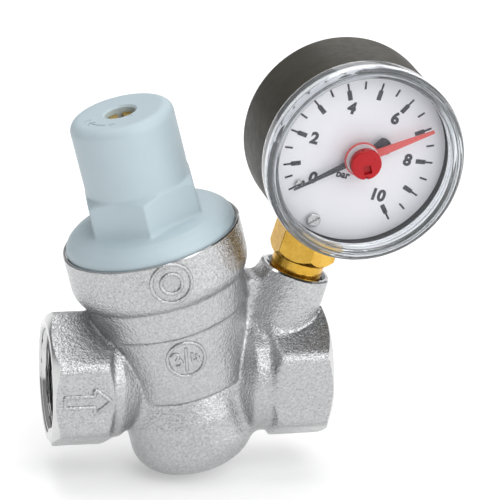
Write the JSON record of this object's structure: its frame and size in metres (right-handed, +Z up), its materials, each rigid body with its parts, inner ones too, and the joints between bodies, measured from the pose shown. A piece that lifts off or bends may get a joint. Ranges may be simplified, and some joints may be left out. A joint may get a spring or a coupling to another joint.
{
  "type": "pressure reducing valve",
  "caption": "In-line pressure reducing valve: forged threaded body, inclined bonnet with plastic spring cover, balanced cartridge and a Bourdon tube pressure gauge on an angled boss.",
  "frame": {"origin": "middle of the pipe line, half way between the two end faces", "axes": "+X along the pipe line in the direction of flow, +Z up, +Y away from the side the dial faces"},
  "size_m": [0.1002, 0.0467, 0.1118],
  "materials": {
    "plated_body": "satin nickel-chrome plating over forged brass",
    "cover_plastic": "fine-grained pale blue-grey moulding",
    "brass": "turned and milled",
    "steel": "bright",
    "rubber": "moulded",
    "cage_plastic": "moulded acetal",
    "fibre": "pressed fibre washer",
    "case_black": "black enamel on pressed steel",
    "clear": "clear moulded cap",
    "dial_white": "white enamel",
    "hand_black": "black enamel",
    "hand_red": "moulded"
  },
  "bodies": {
    "valve": {"valve_body": "plated_body", "spring_cover": "cover_plastic", "gauge_socket": "brass", "bourdon_tube": "brass", "movement_back_plate": "brass", "movement_front_plate": "brass", "movement_pillar_left": "brass", "movement_pillar_right": "brass", "adjusting_spring": "steel", "slip_ring": "steel", "strainer": "steel", "seat_ring": "steel", "case_screw_left": "steel", "case_screw_right": "steel", "dial_screw": "steel", "dial_rivet": "steel", "movement_screw_left": "steel", "movement_screw_right": "steel", "hairspring": "steel", "diaphragm": "rubber", "cage_seal_upper": "rubber", "cage_seal_lower": "rubber", "lens_gasket": "rubber", "cartridge_cage": "cage_plastic", "gauge_gasket": "fibre", "gauge_case": "case_black", "gauge_lens": "clear", "gauge_dial": "dial_white"},
    "adjuster": {"adjusting_screw": "brass"},
    "follower": {"spring_follower": "brass"},
    "stem": {"control_stem": "brass", "lower_spring_plate": "steel", "stem_nut": "brass", "diaphragm_washer": "brass", "compensating_piston": "brass", "piston_seal": "rubber", "obturator": "brass", "obturator_seal": "rubber", "obturator_nut": "brass"},
    "sector": {"sector_gear": "brass"},
    "pointer_hand": {"pointer": "hand_black", "pinion": "brass"},
    "link": {"link_bar": "brass"},
    "set_pointer": {"set_hand": "hand_red", "set_knob": "hand_red"}
  },
  "joints": [
    {"name": "adjuster_turn", "type": "hinge", "parent": "valve", "child": "adjuster", "pos_m": [0.0002, 0, 0], "axis": [-0.2419, 0, 0.9703], "range_deg": [-1081, 721]},
    {"name": "follower_slide", "type": "slide", "parent": "valve", "child": "follower", "axis": [-0.2419, 0, 0.9703], "range_m": [-0.0045, 0.003], "deforming": ["adjusting_spring"]},
    {"name": "stem_lift", "type": "slide", "parent": "valve", "child": "stem", "axis": [-0.2419, 0, 0.9703], "range_m": [0, 0.0022], "stiffness_N_per_m": 2000, "springref_m": -0.002, "deforming": ["adjusting_spring", "diaphragm"]},
    {"name": "sector_turn", "type": "hinge", "parent": "valve", "child": "sector", "pos_m": [0.0356, 0, 0.05298], "axis": [0.0767, -0.9968, -0.0234], "range_deg": [0, 50.25], "stiffness_Nm_per_rad": 0.0004, "springref_deg": -20.05},
    {"name": "pointer_turn", "type": "hinge", "parent": "valve", "child": "pointer_hand", "pos_m": [0.03837, 0, 0.06206], "axis": [-0.0767, 0.9968, 0.0234], "range_deg": [0, 268.5]},
    {"name": "link_turn", "type": "hinge", "parent": "sector", "child": "link", "pos_m": [0.03461, -0.0002, 0.05808], "axis": [0.0767, -0.9968, -0.0234], "range_deg": [-67.5, 0]},
    {"name": "set_pointer_turn", "type": "hinge", "parent": "valve", "child": "set_pointer", "pos_m": [0.03837, 0, 0.06206], "axis": [0.0767, -0.9968, -0.0234], "continuous": true}
  ],
  "couplings": [
    {"joint": "adjuster_turn", "follows": "follower_slide", "rad_per_m": 4188.8},
    {"joint": "pointer_turn", "follows": "sector_turn", "ratio": 5.3333},
    {"joint": "link_turn", "follows": "sector_turn", "ratio": -1.336}
  ]
}
